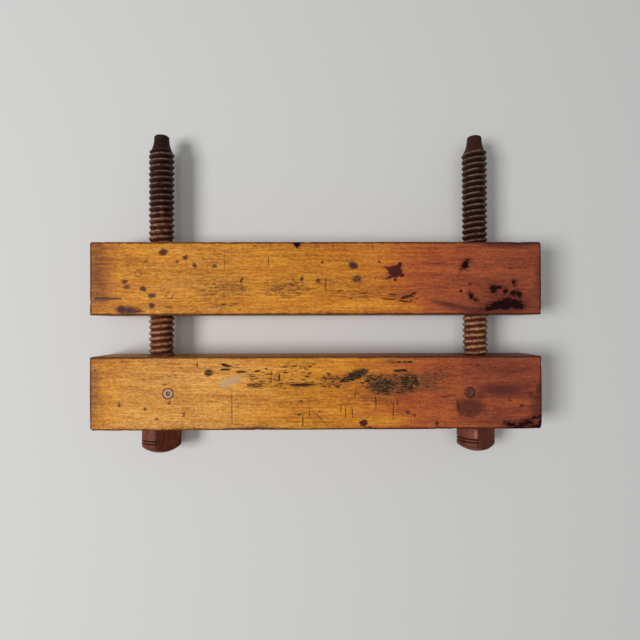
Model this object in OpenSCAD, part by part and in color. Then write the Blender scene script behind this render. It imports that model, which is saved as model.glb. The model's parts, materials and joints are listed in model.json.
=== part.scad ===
// Bookbinding finishing press: two wooden cheeks drawn together by two wooden screws.
// X runs along the cheeks, Y along the screws towards their tips, Z up from the bench.

/* [Cheeks] */
// Length of each cheek
cheek_length = 457; // [400:1:560]
// Width of each cheek, measured along the screws
cheek_width = 74; // [60:1:90]
// Thickness of each cheek, from the bench to its top face
cheek_thickness = 51; // [46:1:64]
// Width of the eased edge all round a cheek
cheek_ease = 1.4; // [0.6:0.2:4]
// Opening between the two jaw faces
jaw_gap = 42; // [4:1:90]

/* [Screws] */
// Distance from the left end of a cheek to the axis of the left screw
left_screw_inset = 64.5; // [58:0.5:90]
// Distance from the right end of a cheek to the axis of the right screw
right_screw_inset = 59.5; // [58:0.5:90]
// Diameter over the crests of the thread
thread_d = 26.6; // [24:0.2:30]
// Advance of the thread in one turn
thread_pitch = 6.2; // [5:0.1:7.5]
// Angle between the two flanks of the thread
thread_angle = 90; // [80:1:100]
// Width of the worn land on each crest
crest_land = 0.6; // [0.3:0.1:1.2]
// Radial room between a screw and the thread cut in the far cheek
thread_room = 0.6; // [0.5:0.05:1]
// Length from the near jaw face to the end of the thread
thread_reach = 217; // [190:1:260]
// Depth inside the near jaw face at which the thread begins
thread_inset = 5; // [2:0.5:10]
// How far round the left thread is turned
left_thread_turn = 20; // [5:15:350]
// How far round the right thread is turned
right_thread_turn = 215; // [5:15:350]

/* [Screw tips] */
// Diameter of the plain tip
tip_d = 15.6; // [12:0.2:18]
// Length of the tip past the end of the thread
tip_length = 15.5; // [15:0.5:26]
// How much the radius grows where the tip meets the thread
tip_flare = 2.7; // [1.5:0.1:3]
// Length of that flare
tip_flare_length = 12; // [6:0.5:13]
// Radius that rounds the end of the tip
tip_round = 2; // [1:0.5:3]

/* [Screw heads] */
// Diameter of the turned head
head_d = 40; // [36:0.5:44]
// Length of the head, with its domed end
head_length = 27.5; // [24:0.5:34]
// How far the domed end bulges past the head's rim
head_dome = 7.5; // [3:0.5:9.5]
// Distance across the two flats that a wrench grips
head_flats = 27; // [26:0.5:33]
// Tilt of the left head's flat from facing up, towards +X
left_flat_tilt = 46; // [-90:1:90]
// Tilt of the right head's flat from facing up, towards +X
right_flat_tilt = 35; // [-90:1:90]
// Length of the round collar left between the flats and the shoulder
head_collar = 1.5; // [0.5:0.1:3]
// Distance from the head's end to its outer ring groove
ring_from_end = 12; // [9:0.5:13]
// Distance between the two ring grooves
ring_step = 3; // [3:0.5:6]
// Width of a ring groove
ring_width = 1.8; // [1:0.1:2.4]
// Depth of a ring groove
ring_depth = 0.9; // [0.4:0.1:1.4]
// Gap between the head's shoulder and the near cheek
shoulder_gap = 0.3; // [0.2:0.05:1]

/* [Necks and garter pegs] */
// How much larger in radius the plain neck is than the thread
neck_extra = 0.2; // [0.1:0.05:0.4]
// Radial room of the neck in the near cheek
bore_room = 0.4; // [0.3:0.05:0.8]
// Diameter of a garter peg
peg_d = 10.4; // [8:0.2:12]
// Room between a peg and the groove that it holds the screw by
peg_room = 0.4; // [0.3:0.05:0.8]
// Radial room of a peg in its hole
peg_fit = 0.05; // [0.02:0.01:0.1]
// Depth of a peg's end below the top face
peg_sunk = 0.2; // [0.1:0.1:1]
// Height of a peg's lower end above the bench
peg_lift = 3; // [1:0.5:6]
// Chamfer round a peg's ends
peg_chamfer = 0.8; // [0.3:0.1:1.5]
// Diameter of the turning mark in a peg's upper end
peg_mark_d = 3.6; // [2:0.2:5]
// Depth of that mark
peg_mark_depth = 0.8; // [0.3:0.1:1.5]

/* [Hidden] */
$fn = 96;
LEFT = -1;
RIGHT = 1;
// Steps round one turn of a thread, and rows of points up one pitch of it
STEPS = 24;
ROWS = 3;
// Angle between the points of a rounded edge
ARC_STEP = 15;
// Steps from the middle of a head's dome to its rim, and along a tip's flare
DOME_STEPS = 8;
FLARE_STEPS = 6;
// How sharply a tip's flare curves
FLARE_POWER = 1.9;
// Overlap of a cutter past the face that it leaves by
PAST = 1;

// Thread profile: a groove bottom, then the two edges of the crest's land
thread_r = thread_d / 2;
flank = (thread_pitch - crest_land) / 2;
root_r = thread_r - flank / tan(thread_angle / 2);
row_height = [0, flank, flank + crest_land];
row_radius = [root_r, thread_r, thread_r];

// Places along a screw, from the near jaw face
thread_base = -thread_inset - 1.4 * thread_pitch;
tip_from = thread_reach;
head_from = -cheek_width - shoulder_gap;
head_to = head_from - head_length;
peg_y = -cheek_width / 2;
far_from = jaw_gap;
far_to = far_from + cheek_width;
// Middle of the whole press along Y
middle_y = (head_to + tip_from + tip_length) / 2;

// Radii about a screw's axis
neck_r = thread_r + neck_extra;
bore_r = neck_r + bore_room;
head_r = head_d / 2;
// The dome is part of a ball
dome_r = (head_r * head_r + head_dome * head_dome) / (2 * head_dome);
dome_angle = asin(head_r / dome_r);
tip_r = tip_d / 2;
// A peg stands half in the bore, so its axis lies on the bore's wall
peg_offset = bore_r;
garter_r = peg_offset - peg_d / 2 - peg_room;
garter_half = peg_d / 2 + peg_room;

// Largest radius of the thread near the tip: it tapers off and ends inside the tip
taper_room = 1.2;
taper_length = 3;
taper = [
    [tip_from - taper_length, thread_r],
    [tip_from, tip_r + tip_flare - taper_room],
    [tip_from + tip_flare_length, tip_r - 2 * taper_room]
];
no_taper = [[0, head_d]];

// A rectangle with its corners eased
module eased_outline(w, h) {
    e = cheek_ease;
    polygon([[e, 0], [w - e, 0], [w, e], [w, h - e], [w - e, h], [e, h], [0, h - e], [0, e]]);
}

// A cheek's block, with its jaw side at y = from
module cheek_block(from) {
    translate([-cheek_length / 2, from, 0])
        intersection() {
            linear_extrude(cheek_thickness) eased_outline(cheek_length, cheek_width);
            translate([0, cheek_width, 0]) rotate([90, 0, 0])
                linear_extrude(cheek_width) eased_outline(cheek_length, cheek_thickness);
            rotate([90, 0, 90]) linear_extrude(cheek_length) eased_outline(cheek_width, cheek_thickness);
        }
}

// Puts the origin under the middle of the press
module in_place() {
    translate([0, -middle_y, 0]) children();
}

// A frame on one screw's axis, with Z along the screw and zero at the near jaw face
module on_axis(side) {
    translate([screw_x(side), 0, cheek_thickness / 2]) rotate([-90, 0, 0]) children();
}

// A frame at the foot of one garter peg's axis
module on_peg(side) {
    translate([screw_x(side) - side * peg_offset, peg_y, 0]) children();
}

function screw_x(side) = side * (cheek_length / 2 - (side == LEFT ? left_screw_inset : right_screw_inset));
function thread_turn(side) = side == LEFT ? left_thread_turn : right_thread_turn;
function flat_tilt(side) = side == LEFT ? left_flat_tilt : right_flat_tilt;

// Point of a thread at one row of its profile and one step round it
function thread_z(base, row, i) =
    base + thread_pitch * (floor(row / ROWS) + i / STEPS) + row_height[row % ROWS];
function thread_point(base, row, i, room, limit) =
    let (
        z = thread_z(base, row, i),
        r = min(row_radius[row % ROWS] + room, lookup(z, limit)),
        a = 360 * i / STEPS
    )
    [r * cos(a), r * sin(a), z];

// A right-hand threaded bar from base, with the given number of rows.
// The last step of a row meets the first step of the row one pitch higher.
module threaded_bar(base, rows, room, limit) {
    last = STEPS - 1;
    ends = rows * STEPS + STEPS;
    function at(row, i) =
        i > last ? at(row + ROWS, i - STEPS)
        : row > rows ? ends + row - rows - 1
        : row * STEPS + i;
    low_middle = ends + ROWS;
    high_middle = low_middle + 1;
    low_rim = [for (i = [0:STEPS]) at(0, i), for (row = [ROWS - 1:-1:1]) at(row, 0)];
    high_rim = [for (i = [0:STEPS]) at(rows, i), for (j = [ROWS - 1:-1:1]) at(rows + j, 0)];
    rim = len(low_rim);
    points = [
        for (row = [0:rows]) for (i = [0:last]) thread_point(base, row, i, room, limit),
        for (j = [1:ROWS]) thread_point(base, rows + j, 0, room, limit),
        [0, 0, thread_z(base, 0, STEPS / 2)],
        [0, 0, thread_z(base, rows, STEPS / 2)]
    ];
    skin = [
        for (row = [0:rows - 1]) for (i = [0:last])
            for (half = [0, 1])
                half == 0
                    ? [at(row, i), at(row + 1, i), at(row + 1, i + 1)]
                    : [at(row, i), at(row + 1, i + 1), at(row, i + 1)]
    ];
    low_cap = [for (j = [0:rim - 1]) [low_middle, low_rim[j], low_rim[(j + 1) % rim]]];
    high_cap = [for (j = [0:rim - 1]) [high_middle, high_rim[(j + 1) % rim], high_rim[j]]];
    polyhedron(points, concat(skin, low_cap, high_cap));
}

// The turned head and neck, with the head's ring grooves and the groove for the garter peg
module turned_shank() {
    ring_z = [head_to + ring_from_end, head_to + ring_from_end + ring_step];
    rotate_extrude() polygon([
        for (k = [0:DOME_STEPS])
            let (a = dome_angle * k / DOME_STEPS) [dome_r * sin(a), head_to + dome_r * (1 - cos(a))],
        for (z = ring_z) for (k = [-1:1])
            [head_r - (k == 0 ? ring_depth : 0), z + k * ring_width / 2],
        [head_r, head_from],
        [neck_r, head_from],
        [neck_r, peg_y - garter_half],
        [garter_r, peg_y - garter_half],
        [garter_r, peg_y + garter_half],
        [neck_r, peg_y + garter_half],
        [neck_r, -thread_inset],
        [0, -thread_inset]
    ]);
}

// The two flats cut on the head
module head_flat_cuts(tilt) {
    for (s = [LEFT, RIGHT])
        rotate([0, 0, tilt - 90])
            translate([s * (head_flats / 2 + head_r) - head_r, -head_d, head_to - PAST])
                cube([head_d, 2 * head_d, head_length - head_collar + PAST]);
}

module turned_tip() {
    end_z = tip_from + tip_length;
    rotate_extrude() polygon([
        [0, tip_from],
        for (k = [0:FLARE_STEPS])
            let (s = k / FLARE_STEPS)
                [tip_r + tip_flare * pow(1 - s, FLARE_POWER), tip_from + tip_flare_length * s],
        for (a = [0:ARC_STEP:90])
            [tip_r - tip_round + tip_round * cos(a), end_z - tip_round + tip_round * sin(a)],
        [0, end_z]
    ]);
}

module screw(side) {
    rows = ceil(ROWS * (tip_from + taper_length - thread_base) / thread_pitch);
    color([0.40, 0.22, 0.14]) in_place() on_axis(side) {
        difference() {
            turned_shank();
            head_flat_cuts(flat_tilt(side));
        }
        rotate([0, 0, thread_turn(side)]) threaded_bar(thread_base, rows, 0, taper);
        turned_tip();
    }
}

// The matching thread through the far cheek, in step with the screw's own
module thread_cut(side) {
    turns_before = floor((far_from - thread_base) / thread_pitch) - 2;
    base = thread_base + turns_before * thread_pitch;
    turns = ceil((far_to - base) / thread_pitch) + 1;
    on_axis(side) rotate([0, 0, thread_turn(side)])
        threaded_bar(base, turns * ROWS, thread_room, no_taper);
}

module near_cheek() {
    color([0.80, 0.55, 0.27]) in_place() difference() {
        cheek_block(-cheek_width);
        for (side = [LEFT, RIGHT]) {
            on_axis(side) translate([0, 0, -cheek_width - PAST])
                cylinder(r = bore_r, h = cheek_width + 2 * PAST);
            on_peg(side) translate([0, 0, -PAST])
                cylinder(r = peg_d / 2 + peg_fit, h = cheek_thickness + 2 * PAST);
        }
    }
}

module far_cheek() {
    color([0.78, 0.52, 0.24]) in_place() difference() {
        cheek_block(far_from);
        for (side = [LEFT, RIGHT]) thread_cut(side);
    }
}

module garter_peg(side) {
    r = peg_d / 2;
    c = peg_chamfer;
    top = cheek_thickness - peg_sunk;
    color([0.62, 0.46, 0.34]) in_place() on_peg(side) rotate_extrude() polygon([
        [0, peg_lift],
        [r - c, peg_lift],
        [r, peg_lift + c],
        [r, top - c],
        [r - c, top],
        [peg_mark_d / 2, top],
        [0, top - peg_mark_depth]
    ]);
}

module left_screw() {
    screw(LEFT);
}

module right_screw() {
    screw(RIGHT);
}

module left_garter_peg() {
    garter_peg(LEFT);
}

module right_garter_peg() {
    garter_peg(RIGHT);
}

near_cheek();
far_cheek();
left_screw();
right_screw();
left_garter_peg();
right_garter_peg();
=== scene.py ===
# %% [markdown]
# # A bookbinder's finishing press
#
# Two hardwood beams, the cheeks, hold a book while its spine is worked on. Two wooden screws draw
# them together: each turns in a plain hole in the near cheek, where a peg keeps it from sliding
# out, and works in a thread that is cut through the far cheek. The solids come from a CAD model.
# This lesson dresses each of the six pieces in a mesh of its own, in the finishes of three timbers.

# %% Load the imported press
import json
import math

import bmesh
import bpy
import numpy as np
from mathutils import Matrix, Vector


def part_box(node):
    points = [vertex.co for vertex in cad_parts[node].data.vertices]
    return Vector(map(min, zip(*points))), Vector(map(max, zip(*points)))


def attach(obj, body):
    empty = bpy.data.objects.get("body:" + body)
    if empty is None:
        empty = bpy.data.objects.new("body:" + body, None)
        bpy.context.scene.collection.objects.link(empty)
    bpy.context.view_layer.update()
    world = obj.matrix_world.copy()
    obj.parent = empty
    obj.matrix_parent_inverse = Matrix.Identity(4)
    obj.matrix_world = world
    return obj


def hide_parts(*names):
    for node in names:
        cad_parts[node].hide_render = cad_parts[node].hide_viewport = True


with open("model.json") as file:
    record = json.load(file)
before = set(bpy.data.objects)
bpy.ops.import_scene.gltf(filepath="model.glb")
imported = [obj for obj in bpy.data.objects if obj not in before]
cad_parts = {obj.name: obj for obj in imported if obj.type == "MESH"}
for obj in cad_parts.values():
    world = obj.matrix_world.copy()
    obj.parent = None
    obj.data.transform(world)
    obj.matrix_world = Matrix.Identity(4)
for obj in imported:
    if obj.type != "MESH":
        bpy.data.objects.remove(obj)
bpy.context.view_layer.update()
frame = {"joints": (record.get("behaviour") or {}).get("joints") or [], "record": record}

MM = 0.001

# %% [markdown]
# ## Camera
#
# The press was photographed from almost straight above with a wide lens. A level, centred camera
# would be simpler, but only a place and a tilt that are fitted to the cheeks' corners show their
# inner walls where they should be.

# %% Camera over the press
CAMERA_PLACE_MM = (-2.8, -32.05, 539.8)
CAMERA_TILT_DEG = (0.42, -0.70, -0.15)
scene = bpy.context.scene


def put_in_scene(name, data):
    thing = bpy.data.objects.new(name, data)
    scene.collection.objects.link(thing)
    return thing


camera = put_in_scene("camera", bpy.data.cameras.new("camera"))
camera.location = [x * MM for x in CAMERA_PLACE_MM]
camera.rotation_euler = [math.radians(x) for x in CAMERA_TILT_DEG]
camera.data.lens = 27.2
camera.data.sensor_width = 36.0
camera.data.clip_start = 0.01
scene.camera = camera
print("camera height in mm:", CAMERA_PLACE_MM[2])

# %% [markdown]
# ## Floor
#
# The press lay on white cloth. A pale square throws light back up as the cloth did; folds would
# only draw the eye away. Colours are written as read off a picture and turned into linear values.

# %% Colours and materials
def srgb(red, green, blue):
    """A colour as read off a picture, 0 to 255, in linear values."""
    share = np.array([red, green, blue]) / 255
    linear = np.where(share <= 0.04045, share / 12.92, ((share + 0.055) / 1.055) ** 2.4)
    return (*linear.tolist(), 1.0)


def new_material(name):
    material = bpy.data.materials.new(name)
    material.use_nodes = True
    return material, material.node_tree.nodes["Principled BSDF"].inputs


# %% Floor
FLOOR_SIZE_M = 8.0

half = FLOOR_SIZE_M / 2
corners = [(-half, -half, 0), (half, -half, 0), (half, half, 0), (-half, half, 0)]
floor_mesh = bpy.data.meshes.new("floor")
floor_mesh.from_pydata(corners, [], [(0, 1, 2, 3)])
floor = put_in_scene("floor", floor_mesh)
floor_finish, look = new_material("pale_floor")
look["Base Color"].default_value = srgb(202, 202, 201)
look["Roughness"].default_value = 0.9
look["Specular IOR Level"].default_value = 0.1
floor_mesh.materials.append(floor_finish)
print("floor is", FLOOR_SIZE_M, "m wide")

# %% [markdown]
# ## Light
#
# A window on the left lights the press, a softer light hangs over it, and the room fills the
# shadows: two area lights and a pale world. Their shares add up to about one, so white renders as
# white, and colours can be written as the eye reads them.

# %% Window light and room fill
def soft_light(name, share, place_m, size_m):
    """A square light turned to the press that gives this share of the light at the floor."""
    distance = float(np.linalg.norm(place_m))
    slope = place_m[2] / distance
    light = put_in_scene(name, bpy.data.lights.new(name, "AREA"))
    light.data.shape = "SQUARE"
    light.data.size = size_m
    light.data.energy = share * math.pi**2 * distance**2 / slope
    light.location = place_m
    light.rotation_euler = light.location.to_track_quat("Z", "Y").to_euler()
    print(name, "in watts:", round(light.data.energy, 1))


soft_light("window_light", 0.60, (-1.75, -0.28, 2.2), 1.0)
soft_light("ceiling_light", 0.20, (0.2, -0.1, 2.2), 1.2)
world = bpy.data.worlds.new("room")
world.use_nodes = True
background = world.node_tree.nodes["Background"].inputs
background["Color"].default_value = srgb(255, 253, 250)
background["Strength"].default_value = 0.24
scene.world = world
scene.view_settings.view_transform = "Standard"

# %% [markdown]
# ## Where everything is
#
# The pieces' boxes, the screws' axes and the thread's pitch are read from the frame, since typed
# numbers would be right only until the model changes. Everything is built in millimetres.

# %% Places read from the frame
SIDES = ("left", "right")


def box_mm(node):
    """Lowest and highest corner of a CAD node."""
    low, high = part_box(node)
    return np.array(low) / MM, np.array(high) / MM


JOINTS = {joint["name"]: joint for joint in frame["joints"]}
AXIS = {side: np.array(JOINTS[side + "_screw_turn"]["pos_m"]) / MM for side in SIDES}
COUPLING = frame["record"]["behaviour"]["couplings"][0]
PITCH = 2 * math.pi / abs(COUPLING["ratio"]) / MM
JAW_Y = box_mm("near_cheek")[1][1]
CHEEK_WIDTH = JAW_Y - box_mm("near_cheek")[0][1]
FAR_NEAR, FAR_OFF = [corner[1] - JAW_Y for corner in box_mm("far_cheek")]
print("thread pitch in mm:", round(PITCH, 3), "near jaw face at Y", round(JAW_Y, 1))

# %% [markdown]
# ## Wiring nodes from a script
#
# A finish is a tree of nodes. It could be drawn in the Shader Editor, but a script reads from top
# to bottom. This class holds a tree and the vector its patterns follow, so each step is one line.

# %% Wiring
class Wiring:
    """A node tree and the place its patterns follow. Methods add nodes and return outputs."""

    def __init__(self, tree):
        self.tree = tree

    def feed(self, socket, value):
        """Links an output to a socket, or sets the socket to a value or a colour."""
        if isinstance(value, bpy.types.NodeSocket):
            self.tree.links.new(value, socket)
        else:
            socket.default_value = srgb(*value) if socket.type == "RGBA" else value

    def node(self, kind, inputs, give=0, **settings):
        """One output of a new node, or all of them, with its options set and its inputs fed."""
        node = self.tree.nodes.new("ShaderNode" + kind)
        for name, value in settings.items():
            setattr(node, name, value)
        for socket, value in inputs.items():
            self.feed(node.inputs[socket], value)
        return node.outputs if give is None else node.outputs[give]

    def calc(self, operation, a, b, kind="Math"):
        return self.node(kind, {0: a, 1: b}, operation=operation)

    def vector(self, operation, a, b):
        return self.calc(operation, a, b, "VectorMath")

    def total(self, start, *terms):
        """A starting value plus each of several values times its own share."""
        for value, share in terms:
            start = self.calc("ADD", start, self.calc("MULTIPLY", value, share))
        return start

    def noise(self, lengths, detail=2.0, rough=0.5, give="Fac"):
        """Noise from 0 to 1, mostly near a half, with lumps of these lengths."""
        scaled = self.vector("MULTIPLY", self.place, [1 / length for length in lengths])
        inputs = {"Vector": scaled, "Scale": 1.0, "Detail": detail, "Roughness": rough}
        return self.node("TexNoise", inputs, give)

    def shaken(self, value, wobble, amount):
        """A value with noise added to it, from minus to plus half the amount."""
        return self.total(value, (self.calc("SUBTRACT", wobble, 0.5), amount))

    def ramp(self, value, low, high):
        """0 below low, 1 above high, smooth between."""
        inputs = {"Value": value, "From Min": low, "From Max": high}
        return self.node("MapRange", inputs, interpolation_type="SMOOTHSTEP")


# %% [markdown]
# ## Three effects that the timber shares
#
# What all old hardwood has in common could be copied into each material, but a node group is
# written once and shows its settings as sockets. *Solid wood* is the figure of the tree: growth
# rings about a pith, long fibres and short flecks. It reads a vector painted on the mesh, which says
# where a point lay in the log with X along the fibres, so end grain and side grain agree.

# %% A shader group
class Group(Wiring):
    """A shader group: a Place and some numbers go in, and masks come out."""

    def __init__(self, name, **numbers):
        super().__init__(bpy.data.node_groups.new(name, "ShaderNodeTree"))
        self.add_socket("Place", "INPUT", "Vector")
        for label, usual in numbers.items():
            self.add_socket(label.replace("_", " "), "INPUT").default_value = usual
        self.given = self.tree.nodes.new("NodeGroupInput").outputs
        self.place = self.given["Place"]

    def add_socket(self, label, in_out, kind="Float"):
        return self.tree.interface.new_socket(label, in_out=in_out, socket_type="NodeSocket" + kind)

    def give(self, **masks):
        """Adds the group's outputs and feeds them."""
        for label in masks:
            self.add_socket(label, "OUTPUT")
        out = self.tree.nodes.new("NodeGroupOutput").inputs
        for label, value in masks.items():
            self.feed(out[label], value)
        print("group", self.tree.name, "has", len(self.tree.nodes), "nodes")


# %% Solid wood
wood = Group("solid_wood", Ring_Width=2.5, Wander=6.0)
drift = wood.vector("SUBTRACT", wood.noise((170, 40, 40), give="Color"), (0.5, 0.5, 0.5))
moved = wood.vector("ADD", wood.place, wood.vector("MULTIPLY", drift, wood.given["Wander"]))
across = wood.vector("MULTIPLY", moved, (0, 1, 1))
from_pith = wood.node("VectorMath", {0: across}, "Value", operation="LENGTH")
ring = wood.calc("DIVIDE", from_pith, wood.given["Ring Width"])
wood.give(
    Rings=wood.calc("POWER", wood.calc("FRACT", ring, 0.0), 2.5),
    Fibre=wood.ramp(wood.noise((22, 1.4, 1.4), 4, 0.65), 0.32, 0.68),
    Flecks=wood.ramp(wood.noise((3.2, 0.8, 0.8), 1.5), 0.60, 0.70),
)

# %% [markdown]
# *Ragged edge* turns a smooth field, in millimetres from a stain's outline, into a torn outline,
# because ink creeps along the fibres. *Patchy grime and shade* breaks painted dirt up into patches,
# as hands do, and painted shade with it.

# %% Ragged edge and patchy grime and shade
edge = Group("ragged_edge", Field=-50.0, Reach=1.0, Softness=0.5)
swing = edge.calc("MULTIPLY", edge.given["Reach"], 4.0)
torn = edge.shaken(edge.given["Field"], edge.noise((3.2, 1.6, 1.6), 5, 0.6), swing)
edge.give(Mask=edge.ramp(edge.calc("DIVIDE", torn, edge.given["Softness"]), -1.0, 1.0))

dirt_and_shade = Group("patchy_grime_and_shade", Dirt=0.0, Breakup=0.5)
swing = dirt_and_shade.calc("MULTIPLY", dirt_and_shade.given["Breakup"], 2.4)
patchy = dirt_and_shade.shaken(dirt_and_shade.given["Dirt"], dirt_and_shade.noise((9, 4, 4), 5, 0.65), swing)
dirt_and_shade.give(Mask=dirt_and_shade.ramp(patchy, 0.25, 0.85))

# %% [markdown]
# ## A finish built up in layers
#
# Old wood gets its colour in the order in which things happened to it: timber, then oil and hands,
# then spills. One long mix could not be read, so a finish lays one colour at a time over the rest.

# %% A finish
class Finish(Wiring):
    """A wooden material whose colour takes one layer after another."""

    def __init__(self, name):
        self.material, self.shader = new_material(name)
        super().__init__(self.material.node_tree)
        self.place = self.painted("timber", "Vector")
        self.colour = None

    def painted(self, name, give="Fac"):
        return self.node("Attribute", {}, give, attribute_name=name)

    def group(self, name, **numbers):
        """The outputs of a group, with underscores for the spaces in its sockets' names."""
        inputs = {label.replace("_", " "): value for label, value in numbers.items()}
        inputs["Place"] = self.place
        return self.node("Group", inputs, None, node_tree=bpy.data.node_groups[name])

    def mix(self, factor, a, b):
        return self.node("Mix", {0: factor, 6: a, 7: b}, 2, data_type="RGBA")

    def lay(self, mask, strength, over):
        """Lays a colour over what is there where a mask says, no stronger than the strength."""
        self.colour = self.mix(self.calc("MULTIPLY", mask, strength), self.colour, over)

    def lay_grime_and_shade(self, breakup, strength, over):
        """Lays the painted grime and painted shade over what is there, broken up into patches."""
        mask = self.group("patchy_grime_and_shade", Dirt=self.painted("grime_and_shade"), Breakup=breakup)["Mask"]
        self.lay(mask, strength, over)
        return mask

    def complete(self, rough, specular, height, strength, depth_mm):
        """Feeds the shader with the colour, the roughness and a bump of this depth."""
        inputs = {"Strength": strength, "Distance": depth_mm * MM, "Height": height}
        bump = self.node("Bump", inputs, "Normal")
        labels = ("Base Color", "Roughness", "Specular IOR Level", "Normal")
        for label, value in zip(labels, (self.colour, rough, specular, bump)):
            self.feed(self.shader[label], value)
        print(self.material.name, "has", len(self.tree.nodes), "nodes")


# %% [markdown]
# ## The cheeks' finish: timber
#
# The oiled wood has gone honey gold, and red-brown at the right. A plain gradient would look sprayed
# on, so the painted tone is shaken with noise stretched along the fibres before it picks between
# four pairs of light and dark.

# %% Cheek timber
honey = Finish("cheek_wood")
figure = honey.group("solid_wood", Ring_Width=3.4, Wander=26.0)
blotch = honey.ramp(honey.noise((60, 14, 14), 3), 0.32, 0.68)
mottle = honey.ramp(honey.noise((3.6, 1.6, 1.6), 3, 0.6), 0.33, 0.67)
end = honey.painted("end")
rings = (figure["Rings"], honey.total(0.10, (end, 0.45)))
shade = honey.total(0.0, (figure["Fibre"], 0.32), rings, (blotch, 0.24), (mottle, 0.34))
tone = honey.shaken(honey.painted("tone"), honey.noise((110, 5, 5), 5, 0.6), 1.1)

amber = honey.mix(shade, (226, 154, 46), (134, 66, 12))
orange = honey.mix(shade, (200, 104, 43), (118, 50, 24))
red = honey.mix(shade, (164, 82, 50), (92, 39, 31))
honey.colour = honey.mix(shade, (232, 169, 82), (136, 72, 24))
for start, full, timber in ((-0.45, 0.0, amber), (-0.05, 0.7, orange), (0.35, 1.1, red)):
    honey.lay(honey.ramp(tone, start, full), 1.0, timber)

bright = honey.calc("MULTIPLY", figure["Flecks"], honey.ramp(tone, 0.2, -0.3))
honey.lay(bright, 0.42, (240, 192, 110))
dots = honey.ramp(honey.noise((2.6, 1.0, 1.0), 1.5), 0.64, 0.72)
honey.lay(dots, 0.5, (92, 42, 18))
honey.lay(end, 0.35, (92, 44, 22))
print("timber takes", len(honey.tree.nodes), "nodes")

# %% [markdown]
# ## The cheeks' finish: oil, hands and knives
#
# Oil has darkened patches, hands have blackened the edges, and knives have left brown wear, pale
# slivers and dark strokes. These are too many to draw, so each is a stretched noise that shows where
# the painted scuff lifts it over a limit. Deeper cuts are dents in the mesh, darkened here.

# %% Cheek wear
soak = honey.shaken(honey.painted("soak"), honey.noise((24, 2.6, 2.6), 5, 0.65), 0.9)
honey.lay(honey.ramp(soak, 0.05, 0.85), 0.76, (68, 27, 26))
# Dirt on the cheeks' edges and walls, and painted shade inside their holes.
grime_and_shade = honey.lay_grime_and_shade(0.5, 0.8, (52, 23, 14))
scuff = honey.painted("scuff")


def knife_work(lengths, share, low, high):
    """Streaks of these lengths that show where the cheek is scuffed."""
    return honey.ramp(honey.total(honey.noise(lengths, 3, 0.6), (scuff, share)), low, high)


honey.lay(knife_work((9, 1.5, 1.5), 0.40, 0.66, 0.80), 0.62, (106, 68, 34))
honey.lay(knife_work((5.5, 1.2, 1.2), 0.22, 0.75, 0.82), 0.6, (154, 126, 78))
strokes = knife_work((4.2, 0.9, 0.9), 0.34, 0.80, 0.86)
broken = honey.total(0.7, (honey.ramp(honey.noise((2.4, 1.0, 1.0), 3, 0.6), 0.38, 0.56), 0.3))
honey.lay(honey.calc("MULTIPLY", strokes, broken), 0.98, (34, 20, 11))
honey.lay(honey.ramp(honey.painted("cut"), 0.08, 0.4), 0.92, (46, 23, 12))
print("timber and wear take", len(honey.tree.nodes), "nodes")

# %% [markdown]
# ## The cheeks' finish: spills
#
# Paste dried to a grey film; slate, leather dye, wine-red dye and ink soaked in. Ink has a brown
# halo, where its oil ran on. Pictures could be laid on the wood, but painted fields stay sharp at
# any distance.

# %% Cheek spills
def stain(field, reach, softness):
    """The mask of a stain with a torn outline."""
    return honey.group("ragged_edge", Field=field, Reach=reach, Softness=softness)["Mask"]


paste = stain(honey.painted("paste"), 1.6, 0.8)
streaky = honey.ramp(honey.noise((2.6, 1.0, 1.0), 4, 0.6), 0.42, 0.60)
honey.lay(paste, honey.total(0.3, (streaky, 0.55)), (170, 156, 134))
honey.lay(stain(honey.painted("slate"), 0.5, 0.5), 0.85, (54, 49, 36))
dye = honey.painted("dye")
dye_depth = honey.total(0.66, (honey.ramp(dye, 0.0, 2.0), 0.28))
honey.lay(stain(dye, 1.2, 0.4), dye_depth, (62, 27, 28))
honey.lay(stain(honey.painted("wine"), 1.7, 0.6), 0.95, (60, 4, 15))
ink = honey.painted("ink")
honey.lay(stain(honey.calc("ADD", ink, 1.6), 2.2, 1.5), 0.5, (64, 22, 18))
inked = stain(ink, 2.0, 0.5)
honey.lay(inked, 0.97, (24, 2, 2))

rough = [(mottle, 0.1), (strokes, 0.2), (grime_and_shade, 0.1), (paste, 0.25), (inked, 0.4)]
height = [(figure["Fibre"], 0.3), (dots, -0.5), (strokes, -0.9), (paste, 0.7)]
honey.complete(honey.total(0.48, *rough), 0.12, honey.total(0.0, *height), 0.35, 0.25)

# %% [markdown]
# ## The screws' finish
#
# The heads are plain red-brown. The thread is painted darker towards its root, as shade, and grey
# on its crests, as dust with a painted highlight, rubbed to bare tan wood between the cheeks and a
# little beside the far one. A pattern laid over the screw would not follow the thread, so the mesh
# carries crest and rubbing.

# %% Screw timber and thread
dark = Finish("screw_wood")
figure = dark.group("solid_wood", Ring_Width=2.2, Wander=5.0)
patches = dark.noise((12, 5, 5), 4, 0.6)
fine = dark.noise((3.2, 2.6, 2.6), 3, 0.6)
blotch = (dark.ramp(patches, 0.3, 0.7), 0.45)
shade = dark.total(0.0, (figure["Fibre"], 0.4), (figure["Rings"], 0.15), blotch)

crest = dark.painted("crest")
# The thread darkens from crest to root: painted shade in its hollows.
flank = dark.ramp(crest, 0.05, 0.8)
dark.colour = dark.mix(flank, (16, 5, 2), (58, 28, 19))
# Grey on the crests: dust and a painted highlight.
dust_and_highlight = dark.ramp(dark.shaken(crest, fine, 0.35), 0.70, 1.0)
dark.lay(dust_and_highlight, dark.total(0.5, (dark.ramp(patches, 0.36, 0.6), 0.5)), (114, 95, 86))

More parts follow.
